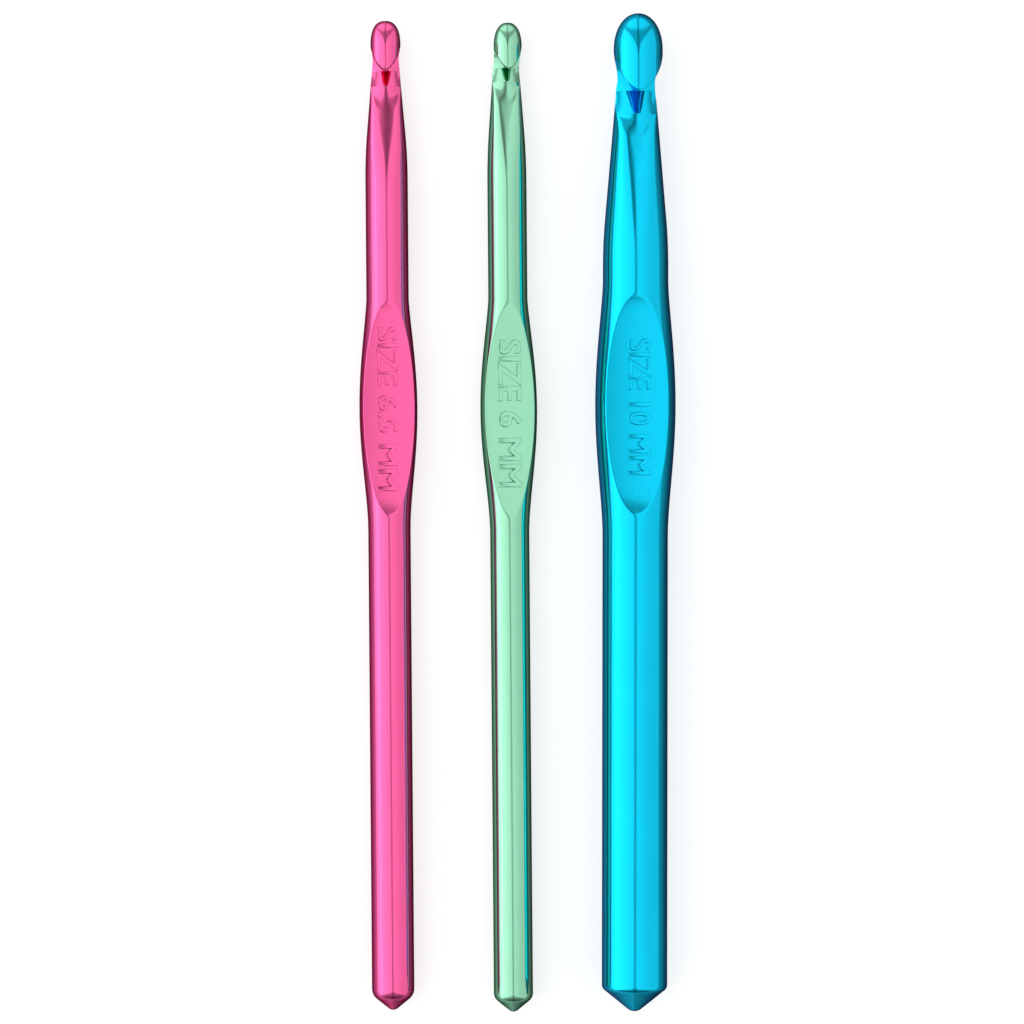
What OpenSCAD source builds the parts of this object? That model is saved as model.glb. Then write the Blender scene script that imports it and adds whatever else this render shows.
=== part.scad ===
// A set of three one-piece aluminium crochet hooks, lying side by side on a table.
// Each hook runs along Y with its head at +Y, its lip and its size mark facing +Z.
// The origin is under the middle of the set's bounding box, and Z = 0 is the table.

/* [Pink hook] */
// Gauge of the pink hook, the diameter of its shaft
pink_gauge = 6.5; // [6:0.1:7]
// Length from the tip of the butt to the tip of the head
pink_length = 151.5; // [140:0.5:165]
// Diameter of the head
pink_head_d = 4.6; // [4.4:0.1:5]
// Length of the dome that ends the head
pink_dome = 2.4; // [2:0.1:3]
// Diameter of the neck behind the head
pink_neck_d = 4.0; // [3.6:0.1:4.2]
// Distance from the tip of the head to the tip of the lip
pink_lip = 7.7; // [7:0.1:8.5]
// Distance from the tip of the head to the top of the throat ramp
pink_ramp = 10.1; // [9.8:0.1:11]
// Distance from the tip of the head to the start of the long slope to the throat
pink_slope = 23.4; // [21:0.1:26]
// Distance from the tip of the head to the start of the taper
pink_taper = 21.1; // [19:0.1:26]
// Distance from the tip of the head to the middle of the thumb rest
pink_rest = 59.7; // [56:0.1:64]
// Half of the length of the thumb rest
pink_rest_half = 15.8; // [14:0.1:17]
// Width of the thumb rest
pink_rest_w = 8.9; // [8.4:0.1:9.6]
// Radius of the shoulder between the butt's cone and the shaft
pink_shoulder = 2.0; // [0.5:0.1:2.4]
// Sideways place of the butt's tip, measured from the green hook's
pink_x = -18.42; // [-24:0.01:-12]
// Lengthwise place of the butt's tip, measured from the green hook's
pink_y = 0.31; // [-3:0.01:3]
// Turn of the hook on the table, anticlockwise from above
pink_lean = 0.47; // [-1:0.01:1]

/* [Green hook] */
// Gauge of the green hook, the diameter of its shaft
green_gauge = 6.0; // [5.6:0.1:6.5]
// Length from the tip of the butt to the tip of the head
green_length = 151.6; // [140:0.1:165]
// Diameter of the head
green_head_d = 4.3; // [4.2:0.1:4.6]
// Length of the dome that ends the head
green_dome = 2.6; // [2:0.1:3]
// Diameter of the neck behind the head
green_neck_d = 4.0; // [3.6:0.1:4.1]
// Distance from the tip of the head to the tip of the lip
green_lip = 7.3; // [6.8:0.1:8]
// Distance from the tip of the head to the top of the throat ramp
green_ramp = 9.2; // [9:0.1:10]
// Distance from the tip of the head to the start of the long slope to the throat
green_slope = 21.4; // [20:0.1:24]
// Distance from the tip of the head to the start of the taper
green_taper = 21.1; // [19:0.1:26]
// Distance from the tip of the head to the middle of the thumb rest
green_rest = 59.5; // [56:0.1:64]
// Half of the length of the thumb rest
green_rest_half = 15.5; // [14:0.1:17]
// Width of the thumb rest
green_rest_w = 8.7; // [8:0.1:9.2]
// Radius of the shoulder between the butt's cone and the shaft
green_shoulder = 1.6; // [0.5:0.1:2]
// Turn of the hook on the table, anticlockwise from above
green_lean = 0.46; // [-1:0.01:1]

/* [Blue hook] */
// Gauge of the blue hook, the diameter of its shaft
blue_gauge = 10.0; // [9.5:0.1:10.5]
// Length from the tip of the butt to the tip of the head
blue_length = 152.4; // [140:0.1:165]
// Diameter of the head
blue_head_d = 7.5; // [7.2:0.1:8]
// Length of the dome that ends the head
blue_dome = 5.2; // [4.5:0.1:5.4]
// Diameter of the neck behind the head
blue_neck_d = 5.8; // [5.4:0.1:6.4]
// Distance from the tip of the head to the tip of the lip
blue_lip = 12.0; // [11.2:0.1:12.6]
// Distance from the tip of the head to the top of the throat ramp
blue_ramp = 15.5; // [15:0.1:17]
// Distance from the tip of the head to the start of the long slope to the throat
blue_slope = 32.9; // [30:0.1:36]
// Distance from the tip of the head to the start of the taper
blue_taper = 35.8; // [32:0.1:39]
// Distance from the tip of the head to the middle of the thumb rest
blue_rest = 59.9; // [57:0.1:64]
// Half of the length of the thumb rest
blue_rest_half = 16.5; // [14:0.1:17]
// Width of the thumb rest
blue_rest_w = 12.3; // [11.6:0.1:13]
// Radius of the shoulder between the butt's cone and the shaft
blue_shoulder = 0.9; // [0.5:0.1:2]
// Sideways place of the butt's tip, measured from the green hook's
blue_x = 18.47; // [14:0.01:24]
// Lengthwise place of the butt's tip, measured from the green hook's
blue_y = 0.31; // [-3:0.01:3]
// Turn of the hook on the table, anticlockwise from above
blue_lean = -0.09; // [-1:0.01:1]

/* [Shape shared by the hooks] */
// Half of the angle of the butt's cone
butt_angle = 51; // [45:1:60]
// Radius of the butt's tip as a share of the gauge
butt_tip = 0.17; // [0.1:0.01:0.2]
// Thickness of the pressed thumb rest as a share of the gauge
rest_thickness = 0.66; // [0.6:0.01:0.8]
// Steepness of the ends of the pressed flats
press_angle = 12; // [8:1:20]
// How far the pressed flats run past the swelling at each end
press_overrun = 0.5; // [0.3:0.1:1]
// Angle between the underside of the lip and the shaft
undercut_angle = 29; // [28:0.5:32]
// Metal left behind the throat as a share of the head's diameter
throat_metal = 0.46; // [0.42:0.01:0.5]
// Steepness of the ramp that rises out of the throat
ramp_angle = 30; // [25:1:35]
// Steepness of the long slope from the ramp back to the shaft
slope_angle = 8.3; // [7.5:0.1:9]
// Radius across the long slope as a share of the gauge
slope_radius = 0.6; // [0.55:0.01:1]

/* [Hidden] */

$fn = 96;
// How far a cutting shape runs past the metal
past = 2;
// Size of the oval at the back of the head as a share of the head
oval_share = 0.97;
// How far the head's back stands proud of the neck's
back_step = 0.05;
// How far the throat's cut runs on inside the head, where the head's front covers it
throat_reach = 0.6;

// Radius of the arc whose chord is 2 * half_chord and whose height is rise
function arc_radius(half_chord, rise) = (half_chord * half_chord + rise * rise) / (2 * rise);

// Radius of the arc along the side of a thumb rest
function side_arc(gauge, rest_w, rest_half) = arc_radius(rest_half, (rest_w - gauge) / 2);

// Sideways place of a thumb rest's outer edge, where side is -1 for left and 1 for right
function rest_edge(x, lean, gauge, length, rest, rest_half, rest_w, side) =
    x - sin(lean) * (length - rest)
    + side * (side_arc(gauge, rest_w, rest_half) * (1 - cos(lean)) + rest_w / 2 * cos(lean));

left_edge = rest_edge(pink_x, pink_lean, pink_gauge, pink_length,
                      pink_rest, pink_rest_half, pink_rest_w, -1);
right_edge = rest_edge(blue_x, blue_lean, blue_gauge, blue_length,
                       blue_rest, blue_rest_half, blue_rest_w, 1);
top_edge = max(pink_y + pink_length, green_length, blue_y + blue_length);
bottom_edge = min(pink_y, 0, blue_y);
middle = [(left_edge + right_edge) / 2, (top_edge + bottom_edge) / 2];

// Half of the section of the butt: a cone with a round tip and a round shoulder
module butt_section(r, shoulder) {
    tip_r = butt_tip * 2 * r;
    apex = tip_r - tip_r / sin(butt_angle);
    low = [r - shoulder + shoulder * cos(butt_angle),
           apex + (r - shoulder + shoulder * cos(butt_angle)) / tan(butt_angle)];
    centre = [r - shoulder, low[1] + shoulder * sin(butt_angle)];
    intersection() {
        union() {
            polygon([
                [0, tip_r],
                [tip_r * cos(butt_angle), tip_r * (1 - sin(butt_angle))],
                low,
                centre,
                [r, centre[1]],
                [r, 2 * r],
                [0, 2 * r]
            ]);
            translate([0, tip_r]) circle(tip_r);
            translate(centre) circle(shoulder);
        }
        square([r, 2 * r]);
    }
}

// Half of the section of the turned blank: butt, shaft, swelling at the thumb rest and tapered neck
module blank_section(r, length, neck_r, ramp, taper, rest, rest_half, rest_w, shoulder) {
    side_r = arc_radius(rest_half, rest_w / 2 - r);
    butt_section(r, shoulder);
    translate([0, 2 * r]) square([r, length - taper - 2 * r]);
    intersection() {
        translate([rest_w / 2 - side_r, length - rest]) circle(side_r, $fn = 720);
        translate([0, length - rest - rest_half - past]) square([rest_w, 2 * (rest_half + past)]);
    }
    polygon([
        [0, length - taper],
        [r, length - taper],
        [neck_r, length - ramp],
        [neck_r, length - neck_r],
        [0, length - neck_r]
    ]);
}

// Side view of one pressed face of the thumb rest: all that lies in front of the flat
module press_section(r, length, rest, rest_half) {
    flat_z = rest_thickness * r;
    open_z = r + past;
    end = rest_half + press_overrun - (r - flat_z) / tan(press_angle);
    open_end = end + (open_z - flat_z) / tan(press_angle);
    translate([length - rest, 0]) polygon([
        [-end, flat_z],
        [end, flat_z],
        [open_end, open_z],
        [-open_end, open_z]
    ]);
}

// How far the head's axis lies in front of the shaft's
function lift(head_r, neck_r) = oval_share * head_r - neck_r - back_step;

// Side view of the throat: the gap over its floor, from the ramp to a little inside the head
module throat_section(r, length, head_r, neck_r, lip, ramp, slope) {
    floor_z = -neck_r + throat_metal * 2 * head_r;
    ramp_z = r - (slope - ramp) * tan(slope_angle);
    lip_z = lift(head_r, neck_r) + head_r;
    open_z = r + past;
    inside = length - lip + throat_reach;
    polygon([
        [inside + (lip_z - floor_z) / tan(undercut_angle), floor_z],
        [length - ramp + (ramp_z - floor_z) / tan(ramp_angle), floor_z],
        [length - ramp - (open_z - ramp_z) / tan(ramp_angle), open_z],
        [inside - (open_z - lip_z) / tan(undercut_angle), open_z]
    ]);
}

// Turns a section seen from the side, drawn along Y and Z, into a solid as wide as w
module across(w) {
    rotate([90, 0, 90]) linear_extrude(w, center = true) children();
}

// All that lies outside the round, sloping front of the neck
module slope_cut(r, length, slope) {
    slope_r = slope_radius * 2 * r;
    reach = 1.5 * slope;
    difference() {
        translate([-r - past, length - slope, -r - past])
            cube([2 * (r + past), slope + past, 2 * (r + past)]);
        translate([0, length - slope, r]) rotate([-90 - slope_angle, 0, 0])
            translate([0, slope_r, -reach]) cylinder(h = 2 * reach, r = slope_r);
    }
}

// The oval at the back of the head, which runs into the neck
module oval(length, head_r, neck_r, dome) {
    translate([0, length - dome, lift(head_r, neck_r)]) rotate([-90, 0, 0])
        scale([1, 1, dome / head_r]) sphere(oval_share * head_r);
}

// The front of the head: a dome on a cylinder, cut along the sloping underside of the lip
module lip_front(length, head_r, neck_r, dome, lip) {
    translate([0, length - dome, lift(head_r, neck_r)]) difference() {
        rotate([-90, 0, 0]) rotate_extrude() {
            intersection() {
                scale([1, dome / head_r]) circle(head_r);
                square([head_r, dome]);
            }
            translate([0, dome - lip]) square([head_r, lip - dome]);
        }
        translate([0, dome - lip, head_r]) rotate([-undercut_angle, 0, 0])
            translate([-head_r - past, -lip, -3 * head_r])
            cube([2 * (head_r + past), 4 * lip, 3 * head_r]);
    }
}

// One hook along +Y with the butt's tip at the origin and the lip facing +Z
module crochet_hook(gauge, length, head_d, dome, neck_d, lip, ramp, slope, taper,
                    rest, rest_half, rest_w, shoulder) {
    r = gauge / 2;
    head_r = head_d / 2;
    neck_r = neck_d / 2;
    difference() {
        union() {
            difference() {
                rotate([-90, 0, 0]) rotate_extrude() blank_section(
                    r, length, neck_r, ramp, taper, rest, rest_half, rest_w, shoulder);
                slope_cut(r, length, slope);
                for (face = [0, 1]) mirror([0, 0, face])
                    across(2 * rest_w) press_section(r, length, rest, rest_half);
            }
            oval(length, head_r, neck_r, dome);
        }
        across(2 * gauge) throat_section(r, length, head_r, neck_r, lip, ramp, slope);
    }
    lip_front(length, head_r, neck_r, dome, lip);
}

// Sets a hook down on the table with its butt's tip at a place measured from the green hook's
module laid(x, y, lean, gauge) {
    translate([x - middle[0], y - middle[1], gauge / 2]) rotate([0, 0, lean]) children();
}

module pink_hook_6_5mm() {
    color("hotpink") laid(pink_x, pink_y, pink_lean, pink_gauge) crochet_hook(
        pink_gauge, pink_length, pink_head_d, pink_dome, pink_neck_d, pink_lip, pink_ramp,
        pink_slope, pink_taper, pink_rest, pink_rest_half, pink_rest_w, pink_shoulder);
}

module green_hook_6mm() {
    color("mediumaquamarine") laid(0, 0, green_lean, green_gauge) crochet_hook(
        green_gauge, green_length, green_head_d, green_dome, green_neck_d, green_lip, green_ramp,
        green_slope, green_taper, green_rest, green_rest_half, green_rest_w, green_shoulder);
}

module blue_hook_10mm() {
    color("deepskyblue") laid(blue_x, blue_y, blue_lean, blue_gauge) crochet_hook(
        blue_gauge, blue_length, blue_head_d, blue_dome, blue_neck_d, blue_lip, blue_ramp,
        blue_slope, blue_taper, blue_rest, blue_rest_half, blue_rest_w, blue_shoulder);
}

pink_hook_6_5mm();
green_hook_6mm();
blue_hook_10mm();
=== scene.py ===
"""A set of three dyed aluminium crochet hooks on a pale table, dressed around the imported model.

The sizes of the hooks are in millimetres, as a maker would give them, and distances along a hook
are measured from the tip of its head. Meshes are written in metres, in the frame of the model.
"""

import logging
import math
from dataclasses import dataclass
from enum import Enum
from typing import Any

import bmesh
import bpy
from mathutils import Matrix, Vector


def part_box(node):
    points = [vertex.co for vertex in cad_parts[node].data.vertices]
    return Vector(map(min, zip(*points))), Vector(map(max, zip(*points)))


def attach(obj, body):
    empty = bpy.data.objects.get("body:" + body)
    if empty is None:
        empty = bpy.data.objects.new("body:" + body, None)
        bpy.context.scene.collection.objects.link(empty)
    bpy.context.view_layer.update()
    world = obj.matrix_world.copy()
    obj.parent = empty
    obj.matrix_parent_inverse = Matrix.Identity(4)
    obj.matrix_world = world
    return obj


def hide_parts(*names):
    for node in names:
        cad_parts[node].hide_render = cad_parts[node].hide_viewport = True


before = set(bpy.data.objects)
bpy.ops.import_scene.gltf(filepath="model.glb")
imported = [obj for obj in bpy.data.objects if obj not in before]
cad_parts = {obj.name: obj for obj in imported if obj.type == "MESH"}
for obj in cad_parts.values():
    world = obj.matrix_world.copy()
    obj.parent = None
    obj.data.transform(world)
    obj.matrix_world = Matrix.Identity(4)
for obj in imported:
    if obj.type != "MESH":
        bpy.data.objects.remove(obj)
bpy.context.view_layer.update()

LOG = logging.getLogger("crochet_hooks")
MM = 0.001


def smooth_min(a: float, b: float, k: float) -> float:
    """The lower of two heights, with the crease between them rounded.

    Args:
        a: First height.
        b: Second height.
        k: How far apart the heights are where the rounding starts.

    Returns:
        The rounded minimum.
    """
    h = max(k - abs(a - b), 0.0) / k
    return min(a, b) - h * h * k / 4


def smooth_max(a: float, b: float, k: float) -> float:
    """The higher of two heights, with the crease between them rounded."""
    return -smooth_min(-a, -b, k)


def ease(low: float, high: float, x: float) -> float:
    """A smooth step that is 0 before low and 1 after high."""
    v = min(max((x - low) / (high - low), 0.0), 1.0)
    return v * v * (3 - 2 * v)


def mix(a: float, b: float, share: float) -> float:
    """The value that lies at a share of the way from a to b."""
    return a + (b - a) * share


def linear(code: str) -> tuple[float, float, float, float]:
    """Turns an sRGB hex colour into the linear one that shaders take.

    Args:
        code: Six hex digits, such as "FE63A3".

    Returns:
        Linear red, green, blue and an alpha of 1.
    """
    parts = [int(code[i : i + 2], 16) / 255 for i in (0, 2, 4)]
    return (*[c / 12.92 if c <= 0.04045 else ((c + 0.055) / 1.055) ** 2.4 for c in parts], 1.0)


class Zone(Enum):
    """The stretches of a hook, which lay their rows of points out in different ways."""

    HEAD = "head"
    LIP_EDGE = "lip edge"
    UNDERCUT = "undercut"
    SHANK = "shank"
    BUTT = "butt"


# Bluntness of the head's front seen from the side, where 2 is an ellipse
BROW_BLUNT = 2.2
# Rounding of the throat's cut edges, and how close the rows beside them stand, in millimetres
CUT_EDGE = 0.012
CUT_ROWS = 0.02
# Columns of points round a hook, counted from the middle of its front to the middle of its back
FRONT_COLUMNS = 24
BACK_COLUMNS = 40
# Angles of the columns that stand close together at a corner, in degrees from it
CORNER_COLUMNS = (-3.2, -1.6, -0.7, 0.0, 0.7, 1.6, 3.2)
HALF_COLUMNS = FRONT_COLUMNS + len(CORNER_COLUMNS) - 1 + BACK_COLUMNS


def column_angle(column: int, corner: float) -> float:
    """Where a column of points stands round a section.

    Args:
        column: Number of the column, from 0 at the front to HALF_COLUMNS at the back.
        corner: Angle of the section's corner from the front, in degrees.

    Returns:
        The angle from the front, in degrees.
    """
    first, last = corner + CORNER_COLUMNS[0], corner + CORNER_COLUMNS[-1]
    if column < FRONT_COLUMNS:
        return first * column / FRONT_COLUMNS
    place = column - FRONT_COLUMNS
    if place < len(CORNER_COLUMNS):
        return corner + CORNER_COLUMNS[place]
    v = (place - len(CORNER_COLUMNS) + 1) / BACK_COLUMNS
    start = 1.8 * BACK_COLUMNS / (180 - last)
    return last + (180 - last) * (v + (start - 1) * v * (1 - v) ** 2)


def steps(start: float, end: float, step: float) -> list[float]:
    """Evenly spaced distances after start, up to and with end, about a step apart."""
    count = max(1, round((end - start) / step))
    return [start + (end - start) * (i + 1) / count for i in range(count)]


@dataclass(frozen=True)
class AnodisedAluminium:
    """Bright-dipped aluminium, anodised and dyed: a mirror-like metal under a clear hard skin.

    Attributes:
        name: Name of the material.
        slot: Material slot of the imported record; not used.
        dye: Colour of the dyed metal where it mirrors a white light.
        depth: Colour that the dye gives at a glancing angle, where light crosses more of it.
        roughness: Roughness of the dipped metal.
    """

    name: str
    slot: str
    dye: str
    depth: str
    roughness: float = 0.095

    def build(self, lean: float) -> bpy.types.Material:
        """Makes the material.

        Args:
            lean: Turn of the hook on the table in radians, which the drawing lines follow.

        Returns:
            The material, with its pattern on object coordinates.
        """
        material = bpy.data.materials.new(self.name)
        material.use_nodes = True
        nodes = material.node_tree.nodes
        tree = material.node_tree
        shader = nodes["Principled BSDF"]
        # A mirror-like metal takes the dye's colour, and the clear skin adds a faint white gloss
        shader.inputs["Metallic"].default_value = 1.0
        shader.inputs["Specular Tint"].default_value = linear(self.depth)
        shader.inputs["Coat Weight"].default_value = 0.15
        shader.inputs["Coat Roughness"].default_value = 0.06
        place = add_node(tree, "ShaderNodeTexCoord")
        # Drawing lines: 0.25 mm apart across the hook and about 8 mm long
        lines_at = add_node(
            tree,
            "ShaderNodeMapping",
            {
                "Vector": place.outputs["Object"],
                "Rotation": (0, 0, -lean),
                "Scale": (4000, 125, 4000),
            },
        )
        lines = add_node(
            tree,
            "ShaderNodeTexNoise",
            {"Vector": lines_at.outputs["Vector"], "Scale": 1.0, "Detail": 2.0, "Roughness": 0.6},
        )
        # Cloudiness of the dye, 12 mm across
        clouds = add_node(
            tree,
            "ShaderNodeTexNoise",
            {"Vector": place.outputs["Object"], "Scale": 80.0, "Detail": 3.0, "Roughness": 0.55},
        )
        tone = add_node(
            tree,
            "ShaderNodeMix",
            {
                "Factor": clouds.outputs["Fac"],
                "A": scaled(linear(self.dye), 0.94),
                "B": scaled(linear(self.dye), 1.05),
            },
            data_type="RGBA",
        )
        gloss = add_node(
            tree,
            "ShaderNodeMapRange",
            {
                "Value": lines.outputs["Fac"],
                "From Min": 0.3,
                "From Max": 0.7,
                "To Min": self.roughness - 0.025,
                "To Max": self.roughness + 0.035,
            },
        )
        bump = add_node(
            tree,
            "ShaderNodeBump",
            {"Height": lines.outputs["Fac"], "Strength": 0.05, "Distance": 0.00002},
        )
        tree.links.new(tone.outputs["Result"], shader.inputs["Base Color"])
        tree.links.new(gloss.outputs["Result"], shader.inputs["Roughness"])
        tree.links.new(bump.outputs["Normal"], shader.inputs["Normal"])
        return material


def scaled(colour: tuple[float, ...], factor: float) -> tuple[float, float, float, float]:
    """A colour made lighter or darker by a factor, up to full brightness."""
    return (*[min(1.0, c * factor) for c in colour[:3]], 1.0)


def add_node(
    tree: bpy.types.NodeTree, kind: str, inputs: dict[str, Any] | None = None, **settings: Any
) -> bpy.types.Node:
    """Adds a node with its settings, values and links.

    Args:
        tree: The material's or world's node tree.
        kind: The node's type name.
        inputs: A value, or another node's output to link, for each named input.
        settings: Properties of the node itself.

    Returns:
        The new node.
    """
    node = tree.nodes.new(kind)
    for key, value in settings.items():
        setattr(node, key, value)
    for key, value in (inputs or {}).items():
        sockets = [s for s in node.inputs if s.name == key and s.enabled]
        if isinstance(value, bpy.types.NodeSocket):
            tree.links.new(value, sockets[0])
        else:
            sockets[0].default_value = value
    return node


@dataclass
class CrochetHook:
    """One hook drawn from a single rod, with its raised size mark.

    Attributes:
        node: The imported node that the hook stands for.
        body: The body that it rides on.
        finish: Its dyed finish.
        mark: Words of the size mark.
        gauge: Diameter of the shaft.
        lean: Turn on the table in degrees, anticlockwise from above.
        roll: Turn about its own length in degrees, with its front towards the right.
        head_r: Radius of the head.
        head_shift: How far the head stands to the right of the neck.
        lift: How far the head's axis stands in front of the shaft's.
        dome: Length of the dome that ends the head.
        blunt: Bluntness of the dome, where 2 is an ellipse.
        brow_length: How far back from its tip the head's front keeps rising.
        lip: Distance to the tip of the lip.
        floor: Height of the throat's floor over the shaft's axis.
        corner_r: Radius in the throat's inner corner.
        waist: Distance to the narrowest place behind the head, and the half-width there.
        ramp: Distance to the top of the ramp.
        slope: Distance to the start of the long slope.
        shoulder: Distance at which the taper reaches the shaft.
        rest: Distance to the middle of the thumb rest.
        rest_half: Half of the length of its pressed flat.
        rest_w: Width over the thumb rest.
        rest_z: Height of the flat over the shaft's axis in the middle.
        swell: Lengths of the swelling towards the head and towards the butt.
        butt_r: Radius of the shoulder between shaft and cone.
        mark_from: Distance to the start of the size mark.
        mark_size: Length and height of the size mark.
        mark_x: Sideways place of the size mark's middle.
        neck_crown: Curvature across the long slope behind the ramp, in 1/mm.
        rest_power: Power by which the flat deepens from its ends, 2 for an arc.
        rest_tilt: Fall of the flat towards the right, as a share of the width.
        lip_run: Length of the lip's underside at a depth of 1 mm.
        hollow: Power by which the underside deepens, under 1 for a hollow one.
    """

    node: str
    body: str
    finish: AnodisedAluminium
    mark: str
    gauge: float
    lean: float
    roll: float
    head_r: float
    head_shift: float
    lift: float
    dome: float
    blunt: float
    brow_length: float
    lip: float
    floor: float
    corner_r: float
    waist: tuple[float, float]
    ramp: float
    slope: float
    shoulder: float
    rest: float
    rest_half: float
    rest_w: float
    rest_z: float
    swell: tuple[float, float]
    butt_r: float
    mark_from: float
    mark_size: tuple[float, float]
    mark_x: float = 0.0
    neck_crown: float = 0.06
    rest_power: float = 3.0
    rest_tilt: float = 0.0
    lip_run: float = 2.4
    hollow: float = 0.8
    ramp_angle: float = math.radians(30)
    slope_angle: float = math.radians(8.3)
    cone: float = math.radians(51)
    edge: float = 0.5
    mark_height: float = 0.24

    def __post_init__(self) -> None:
        """Works out where the hook lies, and the places in its throat that other sizes give."""
        low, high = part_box(self.node)
        turn = math.radians(self.lean)
        self.shaft_r = self.gauge / 2
        self.length = (high.y - low.y) / MM / math.cos(turn)
        middle = self.length - self.rest
        self.place = Matrix.Translation(
            ((low.x + high.x) / 2 + middle * MM * math.sin(turn), low.y, self.shaft_r * MM)
        ) @ Matrix.Rotation(turn, 4, "Z") @ Matrix.Rotation(math.radians(self.roll), 4, "Y")
        self.lip_z = self.lift + self.head_r
        self.corner_z = self.floor + self.corner_r
        # The fillet in the inner corner has to leave the lip's underside at its own angle
        self.undercut = math.radians(30)
        for _ in range(5):
            top = self.corner_z + self.corner_r * math.cos(self.undercut)
            run = self.lip_run * self.hollow * (self.lip_z - top) ** (self.hollow - 1)
            self.undercut = math.atan(1 / run)
        fillet_t = self.lip - self.lip_run * (self.lip_z - top) ** self.hollow
        self.corner_t = fillet_t + self.corner_r * math.sin(self.undercut)
        self.worked_end = (self.slope + self.rest - self.rest_half) / 2
        self.ramp_z = self.shaft_r - (self.slope - self.ramp) * math.tan(self.slope_angle)
        self.ramp_foot = self.ramp - (self.ramp_z - self.floor) / math.tan(self.ramp_angle)
        self.apex = self.corner_t - self.corner_r
        self.apex_angle = math.degrees(math.acos((self.corner_z - self.lift) / self.head_r))
        self.corners: dict[tuple[float, int], float] = {}

    # Shape of the rod

    def dome_radius(self, t: float) -> float:
        """Radius of the head's round end at a distance from its tip."""
        if t >= self.dome:
            return self.head_r
        return self.head_r * (1 - (1 - t / self.dome) ** self.blunt) ** (1 / self.blunt)

    def brow(self, t: float) -> float:
        """Height of the head's front over its axis, as a share of the radius at its sides."""
        if t >= self.brow_length or t <= 0:
            return 1.0
        rise = (1 - (1 - t / self.brow_length) ** BROW_BLUNT) ** (1 / BROW_BLUNT)
        height = self.head_r * rise
        return min(1.0, height / self.dome_radius(t))

    def side(self, t: float) -> float:
        """Half-width of the hook at a distance from the tip of the head."""
        waist_t, waist_r = self.waist
        if t <= self.apex:
            return self.dome_radius(t)
        if t < waist_t:
            # The step behind the lip is quick, and the neck goes on to the waist
            behind_lip = 0.03 * ease(self.apex, self.apex + 0.5, t)
            to_waist = 0.97 * ease(self.apex - 0.3, waist_t, t)
            return mix(self.head_r, waist_r, to_waist + behind_lip)
        rise = (self.shaft_r - waist_r) / (self.shoulder - waist_t)
        neck = smooth_min(waist_r + (t - waist_t) * rise, self.shaft_r, 0.3)
        return neck + self.swelling(t)

    def swelling(self, t: float) -> float:
        """How far the thumb rest's sides stand out from the shaft."""
        towards_butt = t > self.rest
        share = abs(t - self.rest) / self.swell[towards_butt]
        if share >= 1:
            return 0.0
        fullness = 1.5 if towards_butt else 1.25
        return (self.rest_w / 2 - self.shaft_r) * math.cos(share * math.pi / 2) ** fullness

    def centre(self, t: float) -> float:
        """Height of the middle of the section over the shaft's axis."""
        return self.lift * (1 - ease(self.apex, self.waist[0], t))

    def depth(self, t: float) -> float:
        """Distance from the middle of the section to its back."""
        if t <= self.dome:
            return self.dome_radius(t)
        if t >= self.waist[0]:
            return self.side(t)
        back = mix(self.head_r - self.lift, self.waist[1], ease(self.dome, self.waist[0], t))
        return back + self.centre(t)

    def front(self, t: float) -> float:
        """Height of the worked face at the front: throat, ramp and slope, or thumb rest."""
        if t > self.worked_end:
            share = abs(t - self.rest) / self.rest_half
            return mix(self.rest_z, self.shaft_r, share**self.rest_power)
        if t < self.corner_t:
            return self.corner_z - math.sqrt(max(0.0, self.corner_r**2 - (t - self.corner_t) ** 2))
        slope = self.shaft_r - (self.slope - t) * math.tan(self.slope_angle)
        ramp = self.ramp_z + (t - self.ramp) * math.tan(self.ramp_angle)
        return smooth_min(smooth_max(self.floor, ramp, CUT_EDGE), slope, CUT_EDGE)

    def crown(self, t: float) -> float:
        """Curvature across the worked face, in 1/mm."""
        if t > self.worked_end:
            return 0.004
        on_ramp = ease(self.corner_t + 0.5, self.ramp - 1.0, t)
        on_slope = ease(self.ramp - 0.5, self.ramp + 3.5, t)
        return mix(0.0, mix(1 / self.head_r, self.neck_crown, on_slope), on_ramp)

    def softness(self, t: float) -> float:
        """How far the edges of the worked face are rounded."""
        if t > self.worked_end:
            return 0.10
        sharp = 0.001 + 0.07 * ease(self.apex, self.apex + 0.4, t)
        return mix(sharp, 0.55, ease(self.ramp - 0.6, self.ramp + 1.5, t))

    def corner(self, t: float, hand: int) -> float:
        """Angle from the front at which the worked face meets the round side, in degrees."""
        if t <= self.apex:
            return self.apex_angle
        if (t, hand) in self.corners:
            return self.corners[t, hand]
        low, high = 0.0, 100.0
        for _ in range(30):
            angle = math.radians((low + high) / 2)
            x = self.side(t) * math.sin(angle)
            half = self.side(t) if angle < math.pi / 2 else self.depth(t)
            gap = self.centre(t) + half * math.cos(angle) - self.face(t, x, hand)
            if gap > 0:
                low = (low + high) / 2
            else:
                high = (low + high) / 2
        self.corners[t, hand] = smooth_max(low, 20.0, 3.0)
        return self.corners[t, hand]

    def face(self, t: float, x: float, hand: int) -> float:
        """Height of the worked face at a distance to the left (hand -1) or right of its middle."""
        tilt = self.rest_tilt if t > self.worked_end else 0.0
        return self.front(t) - self.crown(t) * x * x / 2 - tilt * x * hand

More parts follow.
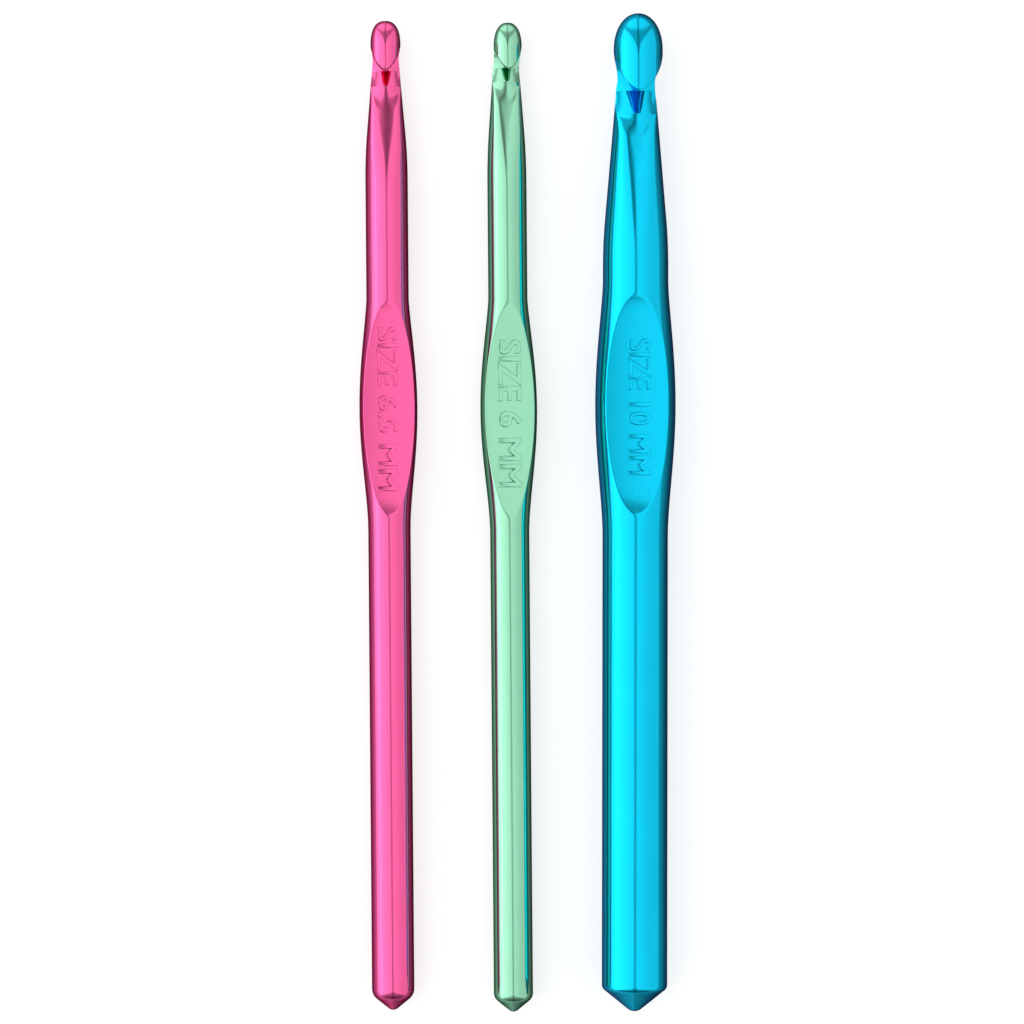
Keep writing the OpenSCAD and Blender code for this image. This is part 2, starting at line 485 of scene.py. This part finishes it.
    def section(self, t: float, angle: float, hand: int) -> tuple[float, float]:
        """A point of the section behind the throat's inner corner.

        Args:
            t: Distance from the tip of the head.
            angle: Angle from the front, in degrees.
            hand: -1 for the left side, 1 for the right.

        Returns:
            Sideways place and height over the shaft's axis.
        """
        turn = math.radians(angle)
        x = self.side(t) * math.sin(turn)
        if angle > 90:
            z = self.centre(t) + self.depth(t) * math.cos(turn)
        else:
            z = self.centre(t) + self.side(t) * math.cos(turn)
        if t > self.worked_end:
            k = self.softness(t)
            return x, smooth_max(smooth_min(z, self.face(t, x, hand), k), -self.front(t), k)
        if t > self.apex:
            z = smooth_min(z, self.face(t, x, hand), self.softness(t))
        return x, z

    def undercut_distance(self, z: float) -> float:
        """Distance from the tip of the head to the lip's sloping underside at a height."""
        if z >= self.corner_z + self.corner_r * math.cos(self.undercut):
            return self.lip - self.lip_run * max(0.0, self.lip_z - z) ** self.hollow
        across = max(0.0, self.corner_r**2 - (z - self.corner_z) ** 2)
        return self.corner_t - math.sqrt(across)

    def lip_point(self, angle: float) -> Vector:
        """The point of the lip's sharp outline at an angle from the front, in degrees."""
        turn = math.radians(angle)
        z = self.lift + self.head_r * math.cos(turn)
        return Vector((self.head_r * math.sin(turn), self.undercut_distance(z), z))

    def underside(self, angle: float, share: float) -> Vector:
        """A point of the lip's underside: at its outline for 0, at the inner corner for 1."""
        rim = self.lip_point(angle)
        inner = self.head_r * math.sin(math.radians(angle))
        z = mix(rim.z, self.corner_z, share)
        return Vector((mix(rim.x, inner, share), self.undercut_distance(z), z))

    def back_off(self, angle: float) -> float:
        """How far the lip's rounding reaches from its sharp outline, fading out at the corner."""
        return self.edge * ease(0.0, 1.0, (self.apex_angle - angle) / 22.0)

    def point(self, zone: Zone, value: float, column: int) -> Vector:
        """A point of the hook's surface.

        Args:
            zone: The stretch that the row of points belongs to.
            value: Distance from the tip of the head, or share of the lip's rounding or underside.
            column: Number of the column, negative on the left.

        Returns:
            The point as sideways place, distance from the tip of the head and height.
        """
        hand = -1 if column < 0 else 1
        if zone is Zone.BUTT:
            angle = math.radians(column_angle(abs(column), 20.0))
            radius = self.butt_radius(self.length - value)
            return Vector((hand * radius * math.sin(angle), value, radius * math.cos(angle)))
        if zone is Zone.SHANK:
            angle = column_angle(abs(column), self.corner(value, hand))
            x, z = self.section(value, angle, hand)
            shift = self.head_shift * (1 - ease(self.apex, self.waist[0] + 2.0, value))
            return Vector((hand * x + shift, value, z))
        angle = column_angle(abs(column), self.apex_angle)
        edge_t = self.apex
        if angle < self.apex_angle:
            edge_t = self.lip_point(angle).y - self.back_off(angle)
        if zone is Zone.HEAD or angle >= self.apex_angle:
            base = value if zone is Zone.HEAD else self.apex
            t = base + ease(0.25 * self.dome, self.apex, base) * (edge_t - self.apex)
            found = self.round_head(t, base, angle)
        elif zone is Zone.LIP_EDGE:
            start = self.round_head(edge_t, self.apex, angle)
            rim = self.lip_point(angle)
            reach = max((self.underside(angle, 1.0) - rim).length, 1e-6)
            end = self.underside(angle, min(0.5, self.back_off(angle) / reach))
            found = start * (1 - value) ** 2 + rim * 2 * value * (1 - value) + end * value**2
        else:
            reach = max((self.underside(angle, 1.0) - self.lip_point(angle)).length, 1e-6)
            first = min(0.5, self.back_off(angle) / reach)
            found = self.underside(angle, mix(first, 1.0, value))
        return Vector((hand * found.x + self.head_shift, found.y, found.z))

    def round_head(self, t: float, base: float, angle: float) -> Vector:
        """A point of the head's round outside, whose back half stays in the section at base."""
        turn = math.radians(angle)
        if angle <= 90:
            radius = self.dome_radius(t)
            front = radius * self.brow(t)
            return Vector((radius * math.sin(turn), t, self.lift + front * math.cos(turn)))
        x = self.dome_radius(base) * math.sin(turn)
        return Vector((x, base, self.lift + self.depth(base) * math.cos(turn)))

    def butt_radius(self, y: float) -> float:
        """Radius of the pointed butt at a distance from its tip."""
        tip_r = 0.17 * self.gauge
        sine, cosine = math.sin(self.cone), math.cos(self.cone)
        apex = tip_r - tip_r / sine
        low_r = self.shaft_r - self.butt_r + self.butt_r * cosine
        low_y = apex + low_r / math.tan(self.cone)
        centre_y = low_y + self.butt_r * sine
        if y <= 0:
            return 0.0
        if y < tip_r * (1 - sine):
            return math.sqrt(tip_r**2 - (tip_r - y) ** 2)
        if y < low_y:
            return (y - apex) * math.tan(self.cone)
        if y < centre_y:
            return self.shaft_r - self.butt_r + math.sqrt(self.butt_r**2 - (centre_y - y) ** 2)
        return self.shaft_r

    def rows(self) -> list[tuple[Zone, float]]:
        """The rows of points from the tip of the head to the tip of the butt."""
        found = [(Zone.HEAD, self.dome * (1 - math.cos(math.radians(3.75 * i)))) for i in range(25)]
        found += [(Zone.HEAD, t) for t in steps(self.dome, self.apex, 0.1)]
        found += [(Zone.LIP_EDGE, share) for share in (0.2, 0.4, 0.6, 0.8, 1.0)]
        found += [(Zone.UNDERCUT, 1 - (1 - i / 8) ** 2.2) for i in range(1, 9)]
        turns = [
            self.corner_t - self.corner_r * math.cos(math.radians(15 * i)) for i in range(1, 7)
        ]
        rest_start, rest_end = self.rest - self.rest_half, self.rest + self.rest_half
        spans = [
            (self.corner_t, self.ramp_foot - CUT_ROWS, 0.1),
            (self.ramp_foot - CUT_ROWS, self.ramp_foot + CUT_ROWS, CUT_ROWS),
            (self.ramp_foot + CUT_ROWS, self.ramp - CUT_ROWS, 0.12),
            (self.ramp - CUT_ROWS, self.ramp + CUT_ROWS, CUT_ROWS),
            (self.ramp + CUT_ROWS, self.ramp + 1.0, 0.12),
            (self.ramp + 1.0, self.slope + 3.0, 0.25),
            (self.slope + 3.0, rest_start - 1.0, 1.5),
            (rest_start - 1.0, rest_start + 3.0, 0.16),
            (rest_start + 3.0, rest_end - 3.0, 0.35),
            (rest_end - 3.0, rest_end + 1.0, 0.16),
            (rest_end + 1.0, self.length - 2 * self.shaft_r, 1.5),
        ]
        found += [(Zone.SHANK, t) for t in turns]
        found += [(Zone.SHANK, t) for start, end, step in spans for t in steps(start, end, step)]
        start = 2 * self.shaft_r
        shares = [1 - i / 40 for i in range(0, 40)]
        found += [(Zone.BUTT, self.length - start * share**1.6) for share in shares]
        return found + [(Zone.BUTT, self.length)]

    def body_mesh(self) -> bpy.types.Mesh:
        """Makes the hook's mesh from a grid that is rolled up round the rod and closed.

        Returns:
            The mesh in place, in metres.
        """
        rows = self.rows()
        bm = bmesh.new()
        bmesh.ops.create_grid(bm, x_segments=2 * HALF_COLUMNS, y_segments=len(rows) - 1, size=1.0)
        for vertex in bm.verts:
            column = round(vertex.co.x * HALF_COLUMNS)
            row = round((vertex.co.y + 1) / 2 * (len(rows) - 1))
            x, t, z = self.point(*rows[row], column)
            vertex.co = self.place @ (Vector((x, self.length - t, z)) * MM)
        bmesh.ops.remove_doubles(bm, verts=bm.verts[:], dist=2e-7)
        bmesh.ops.recalc_face_normals(bm, faces=bm.faces[:])
        for face in bm.faces:
            face.smooth = True
        mesh = bpy.data.meshes.new(self.node + "_body")
        bm.to_mesh(mesh)
        bm.free()
        return mesh

    def mark_mesh(self) -> bpy.types.Mesh:
        """Makes the raised size mark, which follows the hollow of the thumb rest.

        Returns:
            The mesh in place, in metres.
        """
        curve = bpy.data.curves.new(self.node + "_words", "FONT")
        curve.body = self.mark
        curve.extrude = 0.03
        curve.bevel_depth = 0.03
        curve.bevel_resolution = 2
        curve.resolution_u = 4
        words = bpy.data.objects.new(self.node + "_words", curve)
        bpy.context.scene.collection.objects.link(words)
        bpy.context.view_layer.update()
        graph = bpy.context.evaluated_depsgraph_get()
        mesh = bpy.data.meshes.new_from_object(words.evaluated_get(graph))
        bpy.data.objects.remove(words)
        mesh.name = self.node + "_mark"
        bm = bmesh.new()
        bm.from_mesh(mesh)
        bmesh.ops.remove_doubles(bm, verts=bm.verts[:], dist=1e-5)
        low = [min(v.co[i] for v in bm.verts) for i in range(3)]
        high = [max(v.co[i] for v in bm.verts) for i in range(3)]
        sunk = 0.05
        for vertex in bm.verts:
            share = [(vertex.co[i] - low[i]) / (high[i] - low[i]) for i in range(3)]
            t = self.mark_from + share[0] * self.mark_size[0]
            x = self.mark_x + (share[1] - 0.5) * self.mark_size[1]
            z = self.face(t, x, 1) - sunk + share[2] * (self.mark_height + sunk)
            vertex.co = self.place @ (Vector((x, self.length - t, z)) * MM)
        bmesh.ops.recalc_face_normals(bm, faces=bm.faces[:])
        for face in bm.faces:
            face.smooth = True
        bm.to_mesh(mesh)
        bm.free()
        return mesh

    def build(self) -> list[bpy.types.Object]:
        """Makes the hook and its mark, dresses them and puts them on their body.

        Returns:
            The hook and the mark.
        """
        material = self.finish.build(math.radians(self.lean))
        made = []
        for name, mesh in (("rod", self.body_mesh()), ("size_mark", self.mark_mesh())):
            piece = bpy.data.objects.new(f"{self.node}_{name}", mesh)
            bpy.context.scene.collection.objects.link(piece)
            mesh.materials.clear()
            mesh.materials.append(material)
            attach(piece, self.body)
            made.append(piece)
        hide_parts(self.node)
        return made


@dataclass
class Studio:
    """The pale table, the soft lights round it and the camera over it.

    Attributes:
        view_width: Width of what the camera sees at the height of the hooks, in millimetres.
        look_at: Sideways and lengthwise place under the camera, in millimetres.
        height: Height at which the view width holds, in millimetres.
        lens: Focal length of the camera in millimetres.
    """

    view_width: float = 156.85
    look_at: tuple[float, float] = (-0.81, 0.23)
    height: float = 3.5
    lens: float = 150.0

    def build(self) -> None:
        """Sets up table, lights and camera."""
        self.table()
        self.surroundings()
        self.softbox("key_light", (-1500, 0, 700), (500, 1600), 0.10, (0, 0, 0))
        self.camera()
        bpy.context.scene.view_settings.view_transform = "Standard"

    def table(self) -> None:
        """Makes the pale table top."""
        bm = bmesh.new()
        bmesh.ops.create_grid(bm, x_segments=8, y_segments=8, size=3.0)
        mesh = bpy.data.meshes.new("table_top")
        bm.to_mesh(mesh)
        bm.free()
        table = bpy.data.objects.new("table_top", mesh)
        bpy.context.scene.collection.objects.link(table)
        # Matt white paper, lit a little from below so that shadows on it stay faint
        material = bpy.data.materials.new("matt_white_paper")
        material.use_nodes = True
        tree = material.node_tree
        shader = tree.nodes["Principled BSDF"]
        shader.inputs["Base Color"].default_value = (0.5, 0.5, 0.5, 1)
        shader.inputs["Roughness"].default_value = 0.9
        shader.inputs["Specular IOR Level"].default_value = 0.0
        shader.inputs["Emission Color"].default_value = (1, 1, 1, 1)
        shader.inputs["Emission Strength"].default_value = 0.65
        # The hooks mirror the dim lower half of the studio and not the bright paper
        table.visible_glossy = False
        mesh.materials.append(material)

    def surroundings(self) -> None:
        """Fills the studio with soft white light.

        It is brighter from the left, with a dim gap overhead that widens towards both ends of the
        hooks, and the lower half of the studio is dim.
        """
        world = bpy.data.worlds.new("studio")
        bpy.context.scene.world = world
        world.use_nodes = True
        tree = world.node_tree
        place = add_node(tree, "ShaderNodeTexCoord")
        axes = add_node(tree, "ShaderNodeSeparateXYZ", {"Vector": place.outputs["Generated"]})
        across, along = axes.outputs["X"], axes.outputs["Y"]
        off_middle = add_node(tree, "ShaderNodeMath", operation="ABSOLUTE")
        tree.links.new(across, off_middle.inputs[0])
        off_end = add_node(tree, "ShaderNodeMath", operation="ABSOLUTE")
        tree.links.new(along, off_end.inputs[0])
        wide, far = off_middle.outputs["Value"], off_end.outputs["Value"]
        # The two sides, and the gap between them overhead
        left = self.blend(tree, across, (-0.06, -0.92), (1.2, 1.55))
        right = self.blend(tree, across, (0.1, 1.0), (1.12, 0.86))
        is_left = self.blend(tree, across, (0.04, -0.05), (0.0, 1.0))
        gap = self.blend(tree, wide, (0.03, 0.12), (0.5, 1.0))
        # The gap's widening towards the ends, where light stands at the far end again
        cube = add_node(tree, "ShaderNodeMath", {"Value": far}, operation="POWER")
        cube.inputs[1].default_value = 3.0
        wedge = add_node(
            tree, "ShaderNodeMath", {"Value": cube.outputs["Value"]}, operation="MULTIPLY_ADD"
        )
        wedge.inputs[1].default_value = -3.0
        tree.links.new(wide, wedge.inputs[2])
        narrow = self.blend(tree, wedge.outputs["Value"], (-0.04, 0.03), (1.0, 0.0))
        gap_end = self.blend(tree, far, (0.05, 0.28), (1.0, 0.46))
        lit_end = self.blend(tree, along, (0.66, 0.8), (0.0, 1.0))
        gap_end = self.mix_light(tree, lit_end, gap_end, 1.0)
        ends = self.blend(tree, along, (-0.55, -0.95), (1.0, 0.3))
        middle = self.mix_light(tree, narrow, 1.0, gap_end)
        strength = self.mix_light(tree, is_left, right, left)
        for factor in (gap, ends, middle):
            product = add_node(tree, "ShaderNodeMath", operation="MULTIPLY")
            tree.links.new(strength, product.inputs[0])
            tree.links.new(factor, product.inputs[1])
            strength = product.outputs["Value"]
        # The dim lower half
        up = axes.outputs["Z"]
        left_low = self.blend(tree, up, (0.0, -0.75), (0.62, 0.3))
        right_low = self.blend(tree, up, (0.0, -0.75), (0.42, 0.13))
        low = self.mix_light(tree, is_left, right_low, left_low)
        above = self.blend(tree, up, (-0.1, 0.06), (0.0, 1.0))
        strength = self.mix_light(tree, above, low, strength)
        back = tree.nodes["Background"]
        back.inputs["Color"].default_value = (1, 1, 1, 1)
        tree.links.new(strength, back.inputs["Strength"])

    def blend(
        self,
        tree: bpy.types.NodeTree,
        value: bpy.types.NodeSocket,
        span: tuple[float, float],
        result: tuple[float, float],
    ) -> bpy.types.NodeSocket:
        """Adds a smooth change from one brightness to another.

        Args:
            tree: The studio's node tree.
            value: The measure of direction that the brightness follows.
            span: Values at which the change starts and ends.
            result: Brightness before and after the change.

        Returns:
            The brightness as a node's output.
        """
        node = add_node(
            tree,
            "ShaderNodeMapRange",
            {
                "Value": value,
                "From Min": span[0],
                "From Max": span[1],
                "To Min": result[0],
                "To Max": result[1],
            },
            interpolation_type="SMOOTHSTEP",
        )
        return node.outputs["Result"]

    def mix_light(
        self,
        tree: bpy.types.NodeTree,
        share: bpy.types.NodeSocket,
        first: bpy.types.NodeSocket | float,
        second: bpy.types.NodeSocket | float,
    ) -> bpy.types.NodeSocket:
        """Adds the change from a first brightness, at a share of 0, to a second one, at 1."""
        inputs = {"Factor": share, "A": first, "B": second}
        return add_node(tree, "ShaderNodeMix", inputs, data_type="FLOAT").outputs["Result"]

    def softbox(
        self,
        name: str,
        place: tuple[float, float, float],
        size: tuple[float, float],
        power: float,
        aim: tuple[float, float, float],
    ) -> bpy.types.Object:
        """Adds a rectangular soft light.

        Args:
            name: Name of the light.
            place: Where its middle stands, in millimetres.
            size: Its height and its length along the hooks, in millimetres.
            power: Brightness of its face, where 1 shows as white.
            aim: The point that it faces, in millimetres.

        Returns:
            The light.
        """
        light = bpy.data.lights.new(name, "AREA")
        light.shape = "RECTANGLE"
        light.size, light.size_y = size[0] * MM, size[1] * MM
        light.energy = power * math.pi * light.size * light.size_y * 4
        box = bpy.data.objects.new(name, light)
        bpy.context.scene.collection.objects.link(box)
        box.location = Vector(place) * MM
        direction = (Vector(aim) - Vector(place)).normalized()
        side = Vector((0, 1, 0))
        up = direction.cross(side).normalized()
        box.rotation_euler = Matrix((up, side, -direction)).transposed().to_euler()
        box.visible_camera = False
        return box

    def camera(self) -> None:
        """Puts the camera straight over the hooks."""
        data = bpy.data.cameras.new("camera")
        data.lens = self.lens
        data.sensor_width = 36.0
        data.clip_end = 20.0
        camera = bpy.data.objects.new("camera", data)
        distance = self.view_width * self.lens / data.sensor_width
        camera.location = Vector((*self.look_at, self.height + distance)) * MM
        bpy.context.scene.collection.objects.link(camera)
        bpy.context.scene.camera = camera


def hook_set() -> list[CrochetHook]:
    """The three hooks of the set, from left to right."""
    pink = AnodisedAluminium("pink_anodised_aluminium", "pink_anodised", "FE63A3", "8A0030")
    green = AnodisedAluminium("green_anodised_aluminium", "green_anodised", "95D7B4", "006838")
    blue = AnodisedAluminium("blue_anodised_aluminium", "blue_anodised", "00CBF1", "0060A8")
    return [
        CrochetHook(
            node="pink_hook_6_5mm", body="pink_hook", finish=pink, mark="SIZE 6.5 MM",
            gauge=6.5, lean=0.47, roll=0.0, head_r=2.3, head_shift=0.0, lift=0.18,
            dome=3.9, blunt=2.5, brow_length=5.0, lip=8.0, floor=-0.12, corner_r=0.25,
            waist=(6.1, 2.0), ramp=10.1, slope=23.4, shoulder=20.8,
            rest=59.4, rest_half=16.1, rest_w=8.9, rest_z=2.18, swell=(16.8, 18.0), butt_r=2.0,
            mark_from=47.0, mark_size=(25.0, 3.3), mark_x=-0.1, rest_tilt=0.07,
        ),
        CrochetHook(
            node="green_hook_6mm", body="green_hook", finish=green, mark="SIZE 6 MM",
            gauge=6.0, lean=0.46, roll=4.5, head_r=2.15, head_shift=0.28, lift=0.04,
            dome=3.8, blunt=2.35, brow_length=4.8, lip=7.6, floor=-0.1, corner_r=0.25,
            waist=(6.4, 1.96), ramp=9.2, slope=21.4, shoulder=20.6,
            rest=59.3, rest_half=15.8, rest_w=8.7, rest_z=2.18, swell=(17.0, 18.5), butt_r=1.6,
            mark_from=48.7, mark_size=(22.5, 3.7), mark_x=0.0, neck_crown=0.012, rest_power=2.2,
        ),
        CrochetHook(
            node="blue_hook_10mm", body="blue_hook", finish=blue, mark="SIZE 10 MM",
            gauge=10.0, lean=-0.09, roll=4.0, head_r=3.75, head_shift=0.28, lift=0.69,
            dome=5.6, blunt=2.1, brow_length=8.0, lip=12.3, floor=0.3, corner_r=0.4,
            waist=(10.3, 2.9), ramp=15.5, slope=32.9, shoulder=35.0,
            rest=59.8, rest_half=16.2, rest_w=12.3, rest_z=3.95, swell=(18.5, 19.5), butt_r=0.9,
            mark_from=49.8, mark_size=(20.7, 3.6), mark_x=0.2, neck_crown=0.008, lip_run=2.3,
            rest_power=3.2, rest_tilt=-0.03,
        ),
    ]


def main() -> None:
    """Builds the hooks and the studio in order."""
    logging.basicConfig(level=logging.INFO, format="%(message)s")
    for hook in hook_set():
        for piece in hook.build():
            LOG.info("%s: %d vertices on %s", piece.name, len(piece.data.vertices), hook.body)
    Studio().build()


if __name__ == "__main__":
    main()
